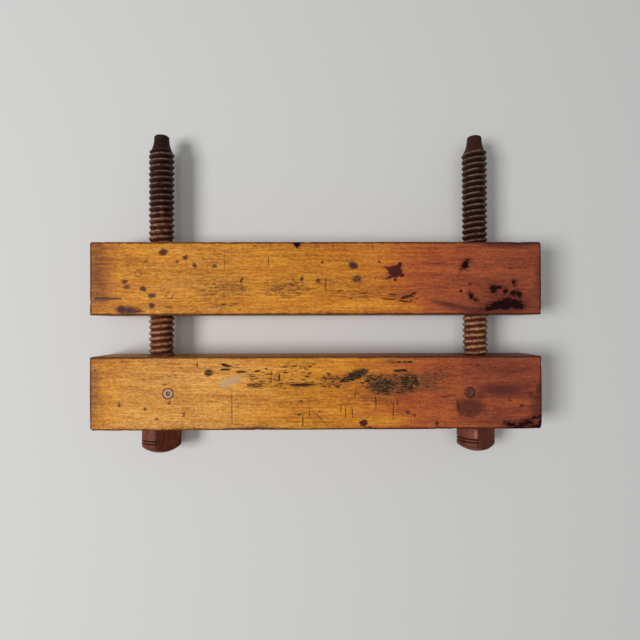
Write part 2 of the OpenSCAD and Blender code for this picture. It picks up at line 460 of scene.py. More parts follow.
# Where rubbed, the roots are painted darker too, as shade, and the crests are bare tan wood.
rubbed = dark.mix(flank, (66, 31, 17), dark.mix(shade, (136, 78, 52), (80, 38, 25)))
uneven = dark.shaken(dark.shaken(crest, fine, 1.3), dark.noise((4, 8, 8), 3, 0.6), 1.5)
bare = dark.mix(shade, (190, 146, 108), (118, 74, 50))
rubbed = dark.mix(dark.ramp(uneven, 0.50, 1.0), rubbed, bare)
dark.lay(dark.ramp(dark.shaken(dark.painted("rub"), patches, 1.7), 0.3, 0.8), 1.0, rubbed)
print("thread takes", len(dark.tree.nodes), "nodes")

# %% Screw heads
turned = dark.mix(shade, (120, 58, 38), (64, 24, 15))
dark.colour = dark.mix(dark.painted("threaded"), turned, dark.colour)
# A strip of each head is polished wood with a painted highlight on it.
polish_and_highlight = dark.ramp(dark.shaken(dark.painted("polish_and_highlight"), fine, 1.0), 0.4, 0.9)
dark.lay(polish_and_highlight, 0.75, (166, 116, 86))
dark.lay(figure["Flecks"], 0.3, (36, 17, 11))
# Painted shade in the head's grooves and by the cheek, and dirt on the tip.
grime_and_shade = dark.lay_grime_and_shade(0.35, 0.85, (22, 9, 6))

lathe_lines = dark.noise((0.7, 60, 60), 3, 0.6)
height = [(lathe_lines, 0.6), (figure["Fibre"], 0.4), (figure["Flecks"], -0.4), (fine, 0.5)]
rough = dark.total(0.40, (patches, 0.2), (grime_and_shade, 0.15))
dark.complete(rough, 0.16, dark.total(0.0, *height), 0.4, 0.3)

# %% [markdown]
# ## The pegs' finish
#
# Only the end of a peg shows: end grain, pale and greyed on the left, soaked with dark stain on the
# right. Two materials would do, but one with a painted stain serves both.

# %% Peg wood
grey = Finish("peg_wood")
figure = grey.group("solid_wood", Ring_Width=1.1, Wander=2.0)
shade = grey.total(0.0, (figure["Rings"], 0.5), (figure["Fibre"], 0.5))
grey.colour = grey.mix(shade, (192, 156, 130), (134, 94, 68))
grey.lay(grey.painted("stain"), 1.0, grey.mix(shade, (94, 47, 30), (64, 29, 19)))
grey.lay(grey.painted("mark"), 1.0, (100, 54, 34))
# Painted shade: a dark ring at the rim, where the peg meets its hole, and down its sides.
grey.lay_grime_and_shade(0.3, 0.85, (40, 20, 13))
grey.complete(grey.total(0.5, (figure["Fibre"], 0.2)), 0.16, shade, 0.3, 0.2)

# %% [markdown]
# ## Blocks for the cheeks
#
# A cheek could be a cube with a bevel, but an old beam has edges that wander and hundreds of cuts.
# So it starts as a fine grid of points, with extra lines close to every edge, which numpy can push
# about. The underside is coarse, and a strip joins it to the walls.

# %% Grid lines
EDGE_LINES = np.array([0, 0.35, 0.8, 1.4, 2.2, 3.2])
LEAST_STEP = 0.3
UNDER_SKIP = 9


def grid_lines(half, step, extra=()):
    """Grid lines from -half to half: close at both edges, then every step, and the extras."""
    inner = np.arange(-half + EDGE_LINES[-1] + step, half - EDGE_LINES[-1] - step / 2, step)
    for place in extra:
        inner = inner[np.abs(inner - place) > LEAST_STEP]
    lines = np.concatenate([EDGE_LINES - half, inner, half - EDGE_LINES, extra])
    return np.unique(np.round(lines, 3))


def sparse(count):
    """A few of count lines: those close to both edges, and some between."""
    near = len(EDGE_LINES)
    inner = np.arange(near, count - near, UNDER_SKIP)
    return np.concatenate([np.arange(near), inner, np.arange(count - near, count)])


# %% A block's skin
def block_skin(xs, ys, zs):
    """Points and faces of a closed block on these grid lines, with a coarse underside."""
    few_x, few_y = sparse(len(xs)), sparse(len(ys))
    used = np.zeros((len(xs), len(ys), len(zs)), bool)
    used[:, :, -1] = True
    used[[0, -1], :, 1:] = True
    used[:, [0, -1], 1:] = True
    used[np.ix_(few_x, few_y, [0])] = True
    ids = np.full(used.shape, -1)
    ids[used] = np.arange(used.sum())
    i, j, k = np.nonzero(used)

    def quads(sheet, flip):
        corners = [sheet[:-1, :-1], sheet[1:, :-1], sheet[1:, 1:], sheet[:-1, 1:]]
        return np.stack(corners[::-1] if flip else corners, -1).reshape(-1, 4).tolist()

    def wall(sheet, few, flip):
        low, high = sheet[:, :2].T
        faces = quads(sheet[:, 1:], flip)
        for a, b in zip(few[:-1], few[1:]):
            ring = [low[a], low[b], *high[a:b + 1][::-1]]
            faces.append([int(x) for x in (ring[::-1] if flip else ring)])
        return faces

    faces = quads(ids[:, :, -1], False) + quads(ids[np.ix_(few_x, few_y, [0])][:, :, 0], True)
    faces += wall(ids[:, 0], few_x, False) + wall(ids[:, -1], few_x, True)
    faces += wall(ids[0], few_y, True) + wall(ids[-1], few_y, False)
    return np.column_stack([xs[i], ys[j], zs[k]]), faces


# %% [markdown]
# ## Marks of use
#
# Every mark that the eye picks out is listed in millimetres from the middle of a cheek's
# top: u runs to the right and v towards the screws' tips. A painted picture could hold them too,
# but in a list any mark can be read and moved.
#
# Ink, wine, dye, paste and gilt, which is brighter wood, are ovals of (u, v, half length, half
# width, tilt), without a tilt of 0. Scuff and soak end with a strength. A cup ring is (u, v,
# radius), a slate line (u, v, u, v, half width), a cut (u, v, u, v, half width, depth), and a pit,
# or worm hole, (u, v, radius, depth). Scars, (u, v, half length, half width, count, deepest), are
# scattered by a seeded generator. Tone is (u, value), red_side raises it past a line, and
# round_corners gives corners by their signs, with the reach of the rounding.

# %% Marks on the far cheek
FAR_MARKS = {
    "ink": [
        (-19.7, 36, 4.0, 4.5), (150.9, 13.6, 5.6, 3.2, 55), (190, -27, 15, 4.6, 4),
        (178, -30.5, 9, 2.6, 5), (203, -27, 8, 4.2, -12), (193, -22.6, 5, 2.6, 10),
        (200.5, -23.4, 4, 2.2), (184.5, -24.6, 4, 2, 15), (208, -29.5, 4, 2), (179.4, -11.6, 3.4, 4.2),
        (184, -9.4, 2.8, 1.6, 10), (191.5, -13, 2.4, 2.6), (199.7, -15.7, 3.4, 2.6),
        (205.4, -16.6, 2.2, 3.4, 20), (200.8, -4.7, 1.4, 2.6, 20), (156.3, -18, 2.2, 3.6, 25),
        (160, -21.5, 2.6, 1.4, -30),
    ],
    "wine": [
        (79.8, 6.9, 7.0, 6.0, 20), (72.5, 9.8, 4, 1.2, -20), (73.5, 1.4, 5, 1.4, 20),
        (84, 13, 3.2, 2.6, 60), (86.5, 3, 2.2, 2), (80, -1.2, 1.4, 2.4),
    ],
    "dye": [
        (-193.4, -3.1, 3.4, 2.2), (-175, -10.2, 4.0, 2.8, -25), (-166, -17.2, 4.4, 2.6, -5),
        (-166, -27.3, 3.4, 3), (-154.8, 26.4, 4.8, 3.6, 10), (-132.4, 21.2, 2.9, 2.7),
        (-140.6, 17.1, 2, 1.7), (-123.3, 13.2, 2.9, 2.2, -40), (-173, 17.2, 2, 1.2, 20),
        (-103, 12.4, 2.2, 2), (-191.3, -8.6, 3.4, 1.8), (-75.6, -1.8, 1.2, 2.6, -25),
        (5.7, 16.2, 1.8, 1.7), (1.2, -2, 2.4, 2.2), (37.2, 13, 5.2, 3.8, -15), (63.5, 17, 1.8, 1.3),
        (155.8, -5.7, 2.2, 1.6, -30), (196, 10, 2.2, 1.2), (-103, -6, 1.6, 1.2), (-15, 0, 2, 3.2, -20),
        (-196.5, -31, 5, 3.6), (-189, -32, 4, 2.6), (-181, -33, 6, 1.6),
    ],
    "cup_rings": [(-180, 5.1, 3.1), (-148.7, -17.2, 3.4)],
    "paste": [],
    "slate": [(-222.4, -19.8, -209, -20, 1.5), (-209, -20, -197, -20.4, 1.0)],
    "scuff": [
        (-94, -11, 34, 13, 3, 0.58), (-80, -10, 16, 8, 0, 0.64), (-31, -10, 32, 12, 2, 0.57),
        (-20, -6, 14, 7, 0, 0.62), (40.5, -0.8, 6.4, 4.4, 5, 1.15), (44, -16, 34, 6, 0, 0.5),
        (86, -19, 18, 5, 0, 0.6), (-90, -26.5, 15, 2, 0, 0.8), (10, -4, 22, 6, 0, 0.5),
        (-148, -28, 6, 2, 8, 0.8), (52, 0, 22, 4, 0, 0.4), (-130, 2, 30, 20, 0, 0.3),
    ],
    "soak": [
        (-191, -32, 13, 4.2, 0, 1.2), (-219, 4, 16, 46, 0, 0.62), (196, 34.5, 36, 4, 0, 0.9),
        (160, -32, 30, 5, -6, 0.8), (134, -27, 22, 3.6, -14, 0.85), (192, -26, 36, 12, 0, 0.75),
        (182, -9, 24, 12, 0, 0.45), (226, 0, 6, 40, 0, 0.5), (118, 15.5, 15, 1.6, -4, 0.55),
        (79, 7, 10, 9, 0, 0.35), (37, 13, 7, 5, 0, 0.4), (150, 16, 10, 6, 40, 0.4),
        (200, 12, 26, 10, 0, 0.25), (-60, -8, 66, 9, 0, 0.22),
    ],
    "cuts": [
        (-77, -4, -74.6, 1, 0.8, 0.9), (-48.5, 22.5, -48.5, 12.4, 0.7, 0.5),
        (21, -12, 27.6, -12.4, 0.8, 0.6), (36.6, -12.6, 43, -13.6, 0.7, 0.5),
        (44.4, -15, 52, -14.8, 0.8, 0.6), (32, -20, 37, -20.4, 0.8, 0.6),
        (65, -20.4, 80, -21.8, 0.8, 0.8), (73, -16.2, 80, -17, 0.8, 0.8),
        (85, -20.5, 97, -17, 1.9, 0.8), (95.7, -16, 101.5, -14.4, 1.1, 1.0),
        (82.5, -22.4, 96.5, -24.2, 0.9, 0.8), (9.4, 0.8, 9.4, -13, 0.7, 0.6),
        (17, 36, 17, 29.5, 0.6, 0.4), (56.8, 36, 56.8, 30.8, 0.6, 0.5), (-47, 36, -47, 30, 0.6, 0.4),
        (-19.7, 38, -19.7, 31, 1.6, 1.2), (-92.8, 30, -92.8, 6, 0.5, 0.3),
        (-63, 33, -60, 32.4, 0.8, 0.6),
    ],
    "scars": [
        (-94, -12, 28, 10, 56, 0.34), (-31, -10, 25, 10, 50, 0.34), (42, -15, 34, 8, 18, 0.5),
        (88, -20, 16, 5, 12, 0.7),
    ],
    "pits": [(146.6, -13, 1.15, 2.4)],
    "tone": [
        (-228, 0.35), (-200, 0.12), (-165, -0.1), (-100, -0.12), (-50, 0.0), (0, 0.08), (45, 0.22),
        (85, 0.5), (120, 0.76), (160, 0.95), (228, 1.05),
    ],
    "red_side": [],
    "gilt": [(100, -31, 16, 4, -6), (60, -28, 40, 6)],
    "round_corners": [(-1, 1, 2.2), (1, 1, 2.2)],
}
print("far cheek:", sum(map(len, FAR_MARKS.values())), "marks")

# %% Marks on the near cheek
NEAR_MARKS = {
    "ink": [
        (121, -31, 1.1, 1.4), (196, -32.4, 5, 2.0, -20), (204, -35, 8, 1.5), (210.5, -30.5, 6, 1.6, 28),
        (221, -25.4, 4, 1.0, 8), (222, -34.5, 8, 1.8), (215, -31.5, 5, 1.4, 10), (227, -28, 2, 6),
    ],
    "wine": [(46.9, -30.2, 4.2, 3.7), (54, -34.8, 3, 0.9)],
    "dye": [
        (-153.2, 9.2, 2.4, 1.1), (-173.2, -15.3, 1.8, 1.7), (-161.3, -25.5, 1.7, 1.6),
        (-199, -11, 1.7, 2.6), (-148.6, -9, 1.5, 2.2, 10), (-134.2, -20.6, 1.3, 2.6),
        (-222.9, 23.5, 1.3, 1.2), (-15.6, -8.2, 2.4, 1.2, -20), (3, -18.7, 1.5, 1.5),
        (-18, -21.5, 2, 1.4), (91.5, -19.5, 2.2, 1.8), (99, -22.4, 1.8, 1.6), (112, -12, 1.2, 1.2),
        (207.8, -13.4, 2.8, 1.8, 10), (137.4, -2.5, 4.4, 1.0), (130, -4, 3, 0.8), (188, 10.7, 1.4, 1.1),
        (163, 28, 2, 1.1), (143, -14, 1.4, 5, 14), (154, -24, 5, 1.2, -8), (155.3, -20, 1.6, 1.4),
        (196.3, -8.3, 1.9, 1.2),
    ],
    "cup_rings": [],
    "paste": [(-83.5, 14.2, 8.4, 3.2, 8), (-93, 9.8, 5.4, 4.4), (-88, 12, 6, 3.6)],
    "slate": [],
    "scuff": [
        (-109, 21, 5.4, 4.6, 0, 1.3), (-92, 28.4, 6.4, 2.2, -14, 1.25), (-92, 24.4, 6, 1.7, 0, 1.25),
        (-77, 21.8, 5, 1.5, 4, 1.2), (-62, 8, 12, 3.4, 0, 0.95), (-40, 14, 16, 9, 0, 0.5),
        (-14, 8.4, 17, 2.8, 0, 1.15), (-62, 20, 20, 7, 0, 0.5), (30.5, 14.6, 10, 2.8, 22, 1.5),
        (39.5, 18, 12, 5.4, 20, 1.6), (46, 20.8, 7, 4.6, 15, 1.6), (67, 7.5, 20, 11, 4, 1.2),
        (94, 11, 17, 12, 0, 1.15), (81, 9, 32, 14, 0, 0.9), (58, 14, 15, 8, 0, 0.9),
        (112, 11, 20, 13, 0, 0.7), (20, 12, 24, 9, 0, 0.62), (126, 18, 20, 11, 0, 0.55),
        (90, 31, 13, 2.0, 0, 1.1), (74, 32, 14, 3, -8, 0.8), (85, 22.4, 9, 2.2, 0, 1.2),
        (88, -20, 9, 6, 0, 0.6), (60, -4, 34, 6, 0, 0.5), (146, -4, 26, 6, 0, 0.5),
        (-20, 28, 40, 6, 0, 0.45),
    ],
    "soak": [
        (-62, -35.5, 34, 2.2, 0, 0.85), (-225, -4, 13, 52, 0, 0.5), (156, -15, 14, 9, 0, 1.3),
        (145, -16, 4, 9, 14, 1.1), (164, -4, 12, 8, 10, 0.7), (186, 2, 30, 9, 0, 0.85),
        (188, 23, 40, 12, 0, 0.5), (216, 26, 14, 12, 0, 0.45), (224, -18, 10, 18, 0, 0.75),
        (207, -31, 26, 5.5, 10, 0.8), (100, -36.4, 128, 1.4, 0, 0.9), (175, -28, 24, 6, 0, 0.4),
        (84, 8, 36, 14, 0, 0.42), (46.9, -30, 6, 5.5, 0, 0.35), (205, 6, 30, 8, 0, 0.4),
        (110, 6, 40, 10, 0, 0.35), (227, 3, 5, 6, 0, 1.2), (225, -6, 6, 4, 0, 1.4),
        (217, -2, 5, 4, 0, 0.7),
    ],
    "cuts": [
        (-120.5, 32.5, -120.5, 25.5, 0.7, 0.6), (-123, 29.2, -118, 29.2, 0.6, 0.4),
        (-134.2, 19.4, -125.8, 25.5, 0.5, 0.3), (-95.4, 29.9, -87.7, 26.8, 1.0, 0.9),
        (-87.7, 26.8, -75.6, 26.2, 0.7, 0.5), (-97.4, 23.8, -90, 24.2, 1.0, 0.8),
        (-82, 21.5, -74, 22.2, 0.9, 0.7), (-85.7, 5, -85.7, -34.5, 1.3, 0.34),
        (-63, 22, -58.5, 22.2, 0.9, 0.9), (-68, 18.6, -67.4, 17.8, 1.0, 0.7),
        (-38, 19, -38, 12, 1.1, 0.8), (-35, 21.4, -29.3, 20.4, 0.9, 0.8),
        (-23.7, 22.3, -18.7, 22.3, 0.7, 0.5), (-9, 26.6, -5, 27, 0.9, 0.9),
        (-10.6, 30.4, 1.6, 30, 0.6, 0.4), (-28.5, 8, -3.5, 9, 0.8, 0.8),
        (-46, 24.6, -46, 9.7, 0.6, 0.4), (-14.3, -21.8, -14.3, -34.5, 0.8, 0.6),
        (-8, -14.5, -7, -24.3, 0.7, 0.5), (-6.5, -15.3, 12.1, -34, 0.95, 0.42),
        (28, 14.6, 49, 22.4, 3.2, 0.26), (77.8, 22.2, 91.5, 22.6, 1.0, 1.0),
        (24.3, -12.2, 24.3, -19.5, 0.7, 0.6), (29, -13, 29, -27.5, 0.6, 0.5),
        (35.5, -14, 36.3, -26, 0.7, 0.6), (39.4, 1.5, 38.4, -5.7, 0.8, 0.6),
        (59, -1.8, 60, -18, 0.7, 0.6), (77.3, -9, 77.3, -27, 0.7, 0.6), (82.4, -6, 81.4, -15, 0.8, 0.5),
        (95.6, -16.5, 95.6, -34.5, 0.6, 0.3), (104.5, -6.7, 104.5, -15, 0.6, 0.3),
        (50, 17, 58, 14, 0.9, 0.6), (43, 11, 48, 9.5, 0.9, 0.7),
    ],
    "scars": [
        (78, 8.5, 31, 11, 90, 0.75), (-30, 16, 38, 12, 96, 0.75), (20, 13, 22, 9, 52, 0.75),
        (122, 18, 13, 10, 18, 0.7), (-84, 23, 14, 7, 12, 0.5),
    ],
    "pits": [],
    "tone": [
        (-228, 0.15), (-205, -0.12), (-180, -0.3), (-110, -0.32), (-60, -0.16), (0, 0.04), (40, 0.2),
        (75, 0.48), (110, 0.7), (146, 0.78), (180, 0.95), (228, 1.05),
    ],
    "red_side": [(146.5, 0.18)],
    "gilt": [(202, -10, 12, 6, -8), (74, -28, 24, 5), (-130, 16, 34, 8)],
    "round_corners": [(-1, -1, 3.2), (1, -1, 3.2)],
}
print("near cheek:", sum(map(len, NEAR_MARKS.values())), "marks")

# %% [markdown]
# ## From marks to fields
#
# The finish wants numbers at every point of the top: how far inside a stain it lies, how scuffed it
# is, how deep a cut goes. Each function takes all the points at once, which is far faster than one
# by one, and keeps the strongest mark.

# %% Stains as fields
FAR_OUTSIDE = -50.0
CUP_LINE = 0.55
FADES = {
    "scuff": lambda away: np.clip((1.25 - away) / 0.8, 0, 1),
    "soak": lambda away: np.exp(-(away**2)),
}


def oval_distance(u, v, mid_u, mid_v, half_u, half_v, tilt=0):
    """Distance from the middle of an oval, counted as 1 at its edge."""
    c, s = math.cos(math.radians(tilt)), math.sin(math.radians(tilt))
    along = ((u - mid_u) * c + (v - mid_v) * s) / half_u
    return np.hypot(along, ((v - mid_v) * c - (u - mid_u) * s) / half_v)


def off_line(u, v, u0, v0, u1, v1):
    """Distance of each point from a line, and the share of the line's length it lies at."""
    du, dv = u1 - u0, v1 - v0
    share = np.clip(((u - u0) * du + (v - v0) * dv) / (du * du + dv * dv), 0, 1)
    return np.hypot(u - u0 - share * du, v - v0 - share * dv), share


def inside(u, v, ovals=(), rings=(), lines=()):
    """How far inside the nearest mark each point lies; negative outside them all."""
    depths = [np.full(u.shape, FAR_OUTSIDE)]
    depths += [(1 - oval_distance(u, v, *oval)) * min(oval[2:4]) for oval in ovals]
    depths += [CUP_LINE - np.abs(np.hypot(u - mid_u, v - mid_v) - r) for mid_u, mid_v, r in rings]
    depths += [half_width - off_line(u, v, *ends)[0] for *ends, half_width in lines]
    return np.max(depths, axis=0)


def strongest(u, v, ovals, fade):
    """The strongest of some fading ovals at each point."""
    return np.max([strength * fade(oval_distance(u, v, *oval)) for *oval, strength in ovals], axis=0)


# %% Scattered scars
SCAR_LEAN_DEG = (2, 8)
SCAR_LENGTH = (1.5, 7)
SCAR_HALF_WIDTH = (0.55, 0.95)
SCAR_SHALLOWEST = 0.15


def scattered_cuts(ovals, seed):
    """Short cuts, mostly along the grain, scattered over some ovals."""
    rng = np.random.default_rng(seed)
    cuts = []
    for mid_u, mid_v, half_u, half_v, count, deepest in ovals:
        for _ in range(count):
            turn, reach = rng.uniform(0, 2 * math.pi), math.sqrt(rng.uniform())
            u, v = mid_u + half_u * reach * math.cos(turn), mid_v + half_v * reach * math.sin(turn)
            length, lean = rng.uniform(*SCAR_LENGTH), math.radians(rng.normal(*SCAR_LEAN_DEG))
            du, dv = length / 2 * math.cos(lean), length / 2 * math.sin(lean)
            half_width, deep = rng.uniform(*SCAR_HALF_WIDTH), rng.uniform(SCAR_SHALLOWEST, deepest)
            cuts.append((u - du, v - dv, u + du, v + dv, half_width, deep))
    return cuts


# %% Depth of the cuts
def step_up(values, low, high):
    """0 below low, 1 above high, and a smooth rise between them."""
    share = np.clip((values - low) / (high - low), 0, 1)
    return share * share * (3 - 2 * share)


def sunk_depth(u, v, marks, seed):
    """Depth of the cuts, V-shaped and fading at both ends, and of the worm holes at each point."""
    depth = np.zeros(u.shape)
    for *ends, half_width, deep in marks["cuts"] + scattered_cuts(marks["scars"], seed):
        off, share = off_line(u, v, *ends)
        bite = np.clip(1 - off / half_width, 0, 1) * (1 - 0.7 * (2 * share - 1) ** 4)
        depth = np.maximum(depth, deep * bite)
    for mid_u, mid_v, radius, deep in marks["pits"]:
        away = np.hypot(u - mid_u, v - mid_v)
        depth = np.maximum(depth, deep * step_up(-away, -radius * 1.2, -radius * 0.6))
    return depth


# %% [markdown]
# ## The two cheeks
#
# A Bevel modifier rounds every edge alike. Here points near an edge are pulled onto a ball whose
# radius drifts along the edge, some corners are rounded more, and chips and cuts are pressed in.

# %% Smooth random lumps
def lumps(points, size, seed):
    """Smooth random numbers from -1 to 1 at points, with lumps about this size."""
    table = np.random.default_rng(seed).uniform(-1, 1, 4096)
    scaled = np.asarray(points) / size
    cell = np.floor(scaled).astype(np.int64)
    blend = scaled - cell
    blend = blend * blend * (3 - 2 * blend)
    total = np.zeros(len(scaled))
    for corner in np.ndindex(2, 2, 2):
        x, y, z = (cell + corner).T
        key = (x * 73856093) ^ (y * 19349663) ^ (z * 83492791)
        total += np.prod(np.where(corner, blend, 1 - blend), axis=1) * table[key & 4095]
    return total


# %% Round the edges
EDGE_RADIUS = (0.7, 1.3)


def round_edges(points, half, corners, seed):
    """A block with unevenly rounded edges, and some corners rounded as seen from above."""
    drift = np.clip(0.5 + 0.5 * lumps(points, 38, seed), 0, 1)
    radius = (EDGE_RADIUS[0] + EDGE_RADIUS[1] * drift**1.5)[:, None]
    core = np.clip(points, -half + radius, half - radius)
    out = points - core
    points = core + out * (radius / np.linalg.norm(out, axis=1, keepdims=True))
    for sign_u, sign_v, reach in corners:
        out = points[:, :2] * (sign_u, sign_v) - half[:2] + reach
        in_corner = (out > 0).all(1)
        square = out[in_corner]
        square *= (square.max(1) / np.linalg.norm(square, axis=1))[:, None]
        points[in_corner, :2] = (square + half[:2] - reach) * (sign_u, sign_v)
    return points


# %% Chip the edges
CHIPS_PER_CHEEK = 90
CHIP_SIZE = (1.6, 4.5)
CHIP_DEPTH = (0.2, 0.8)
CORE_INSET = 8


def chip_edges(points, half, seed):
    """A block with chips pressed in at random places on its edges."""
    rng = np.random.default_rng(seed)
    inward = np.clip(points, -half + CORE_INSET, half - CORE_INSET) - points
    inward /= np.maximum(np.linalg.norm(inward, axis=1), 1e-6)[:, None]
    push = np.zeros(len(points))
    for _ in range(CHIPS_PER_CHEEK):
        spot = half * rng.choice([-1, 1], 3)
        axis = rng.choice(3, p=[0.8, 0.1, 0.1])
        spot[axis] = rng.uniform(-half[axis], half[axis])
        size, deep = rng.uniform(*CHIP_SIZE), rng.uniform(*CHIP_DEPTH)
        away = np.linalg.norm((points - spot) * (0.7, 1, 1), axis=1) / size
        push = np.maximum(push, deep * np.clip(1 - away * away, 0, 1) ** 2)
    return points + inward * push[:, None]


# %% Shape the cheeks
TOP_STEP = (1.0, 0.6)
WALL_STEP = 5.0
CUT_LINES = (-0.6, 0, 0.6)
HOLLOW_DEPTH = 0.12
CHEEKS = {"near_cheek": (NEAR_MARKS, 11), "far_cheek": (FAR_MARKS, 29)}


def middle_and_half(node):
    low, high = box_mm(node)
    return (low + high) / 2, (high - low) / 2


def make_piece(name, points, faces):
    """A mesh object from points in millimetres."""
    mesh = bpy.data.meshes.new(name)
    mesh.from_pydata((np.asarray(points) * MM).tolist(), [], faces)
    return put_in_scene(name, mesh)


def cheek(node, marks, seed):
    """One cheek as a solid block with its wear, before the holes are cut."""
    middle, half = middle_and_half(node)
    upright = [u0 for u0, v0, u1, v1, *_ in marks["cuts"] if abs(u1 - u0) < 0.3 * abs(v1 - v0)]
    extra = [u + off for u in sorted(upright) for off in CUT_LINES]
    xs, ys = grid_lines(half[0], TOP_STEP[0], extra), grid_lines(half[1], TOP_STEP[1])
    points, faces = block_skin(xs, ys, grid_lines(half[2], WALL_STEP))
    points = chip_edges(round_edges(points, half, marks["round_corners"], seed), half, seed + 1)
    u, v, w = points.T
    sunk = sunk_depth(u, v, marks, seed)
    hollow = HOLLOW_DEPTH * (0.5 + 0.5 * lumps(points, 55, seed + 2))
    points[:, 2] -= step_up(w, half[2] - 2.5, half[2] - 0.4) * (sunk + hollow)
    print(node, "has", len(points), "points and", int((sunk > 0.1).sum()), "of them in cuts")
    return make_piece(node + "_beam", points + middle, faces)


beams = {node: cheek(node, *wear) for node, wear in CHEEKS.items()}

# %% [markdown]
# ## Round things
#
# Bores, pegs, heads and tips are lathe work: an outline spun about an axis. The Screw modifier can
# spin a curve, but numpy keeps every point at hand for wear. A thread's rows climb one pitch in each
# turn, so its grid is sheared to follow the helix, and a crest stays a clean line.

# %% Spin an outline
def capped(grid_faces, rims, first):
    """Faces with a fan of triangles over each of two rims, to middles that follow the points."""
    faces = grid_faces.reshape(-1, 4).tolist()
    for middle, rim, up in ((first, rims[0], False), (first + 1, rims[1], True)):
        pairs = zip(rim, np.roll(rim, -1))
        faces += [[middle, int(a), int(b)] if up else [middle, int(b), int(a)] for a, b in pairs]
    return faces


def spin(outline, columns):
    """A closed mesh from (radius, height) points that start and end on the axis, rising."""
    outline = np.asarray(outline, float)
    turn = np.arange(columns) * 2 * math.pi / columns
    radius, height = outline[1:-1].T
    rows = [np.outer(radius, np.cos(turn)), np.outer(radius, np.sin(turn))]
    ring = np.stack([*rows, np.outer(height, np.ones(columns))], -1).reshape(-1, 3)
    ids = np.arange(len(ring)).reshape(-1, columns)
    after = np.roll(ids, -1, axis=1)
    sides = np.stack([ids[:-1], after[:-1], after[1:], ids[1:]], -1)
    ends = [[0, 0, outline[0, 1]], [0, 0, outline[-1, 1]]]
    return np.concatenate([ring, ends]), capped(sides, (ids[0], ids[-1]), len(ring))


def along_screw(points, side):
    """Moves points about a screw's own axis, with height from the near jaw face, into the frame."""
    x, y, height = np.asarray(points).T
    return np.column_stack([AXIS[side][0] + x, JAW_Y + height, AXIS[side][2] - y])


# %% Section of the thread
THREAD_R = 13.3
CREST_LAND = 0.6
THREAD_ROUND = 0.22
FLANK = (PITCH - CREST_LAND) / 2
ROOT_R = THREAD_R - FLANK


def soft_min(a, b, width):
    """The smaller of two values, with the corner between them rounded off."""
    return -width * np.logaddexp(-a / width, -b / width)


def thread_radius(share):
    """Radius at a share of one pitch: a V with a worn crest and a rounded root."""
    rise = (1 - np.abs(2 * (share % 1) - 1)) * PITCH / 2
    return ROOT_R + np.maximum(soft_min(FLANK, rise, THREAD_ROUND), THREAD_ROUND)


print("thread is", round(FLANK, 2), "mm deep on a radius of", THREAD_R, "mm")

# %% The thread's helix
NECK_END = -5.0
THREAD_BASE = NECK_END - 1.4 * PITCH


def helix(first, turns, per_pitch, steps, shape):
    """A closed right-hand thread. shape(angle, height, share) gives its radius."""
    rows = turns * per_pitch
    row = np.concatenate([np.repeat(np.arange(rows + 1), steps), rows + 1 + np.arange(per_pitch)])
    step = np.concatenate([np.tile(np.arange(steps), rows + 1), np.zeros(per_pitch)])
    share, angle = first + row / per_pitch, step * 2 * math.pi / steps
    height = THREAD_BASE + PITCH * (share + angle / (2 * math.pi))
    radius = shape(angle, height, share)
    points = np.column_stack([radius * np.cos(angle), radius * np.sin(angle), height])
    ids = np.arange((rows + 1) * steps).reshape(rows + 1, steps)
    seam = np.concatenate([ids[:, 0], ids.size + np.arange(per_pitch)])
    grid = np.column_stack([ids, seam[per_pitch:]])
    sides = np.stack([grid[:-1, :-1], grid[:-1, 1:], grid[1:, 1:], grid[1:, :-1]], -1)
    low_rim = [*grid[0], *seam[per_pitch - 1:0:-1]]
    high_rim = [*grid[-1], *seam[rows + per_pitch - 1:rows:-1]]
    ends = [[0, 0, THREAD_BASE + PITCH * (first + at + 0.5)] for at in (0, turns)]
    return np.concatenate([points, ends]), capped(sides, (low_rim, high_rim), len(points))


# %% [markdown]
# ## Holes
#
# The near cheek has a plain bore for each screw and an upright hole for each peg. The far cheek's
# thread is cut with a fatter copy of the screw's own, so the two never touch. Faces could be deleted
# by hand, but the Boolean modifier's Manifold solver is quick and keeps the mesh closed. Tools are
# wider at their ends, which leaves the worn rims of old holes.

# %% Cut and join
def combine(piece, points, faces, operation="DIFFERENCE"):
    """Cuts a closed mesh away from a closed piece, or joins it on."""
    tool = make_piece("tool", points, faces)
    step = piece.modifiers.new("combine", "BOOLEAN")
    step.operation = operation
    step.solver = "MANIFOLD"
    step.object = tool
    bpy.context.view_layer.update()
    solved = piece.evaluated_get(bpy.context.evaluated_depsgraph_get())
    result = bpy.data.meshes.new_from_object(solved)
    piece.modifiers.clear()
    spent = (piece.data, tool.data)
    piece.data = result
    result.name = piece.name
    bpy.data.objects.remove(tool)
    for mesh in spent:
        bpy.data.meshes.remove(mesh)


# %% Cut the near cheek
BORE_R = 13.9
RIM = 1.1
PAST = 2.0
PEG_HOLE_R = 5.35
PEG_RIM = {"left": 0.45, "right": 0.2}
PEG_RIM_DEPTH = 2
BORE_COLUMNS = 96
PEG_COLUMNS = 64

top_z = box_mm("near_cheek")[1][2]
wide = BORE_R + RIM + PAST
bore = [(0, -CHEEK_WIDTH - PAST), (wide, -CHEEK_WIDTH - PAST), (BORE_R, -CHEEK_WIDTH + RIM)]
bore += [(BORE_R, -RIM), (wide, PAST), (0, PAST)]
for side in SIDES:
    points, faces = spin(bore, BORE_COLUMNS)
    combine(beams["near_cheek"], along_screw(points, side), faces)
    rim_r = PEG_HOLE_R + PEG_RIM[side]
    hole = [(0, -PAST), (PEG_HOLE_R, -PAST), (PEG_HOLE_R, top_z - PEG_RIM_DEPTH)]
    hole += [(rim_r, top_z), (rim_r, top_z + PAST), (0, top_z + PAST)]
    points, faces = spin(hole, PEG_COLUMNS)
    combine(beams["near_cheek"], points + [*middle_and_half(side + "_garter_peg")[0][:2], 0], faces)
print("near cheek has", len(beams["near_cheek"].data.polygons), "faces with its holes")

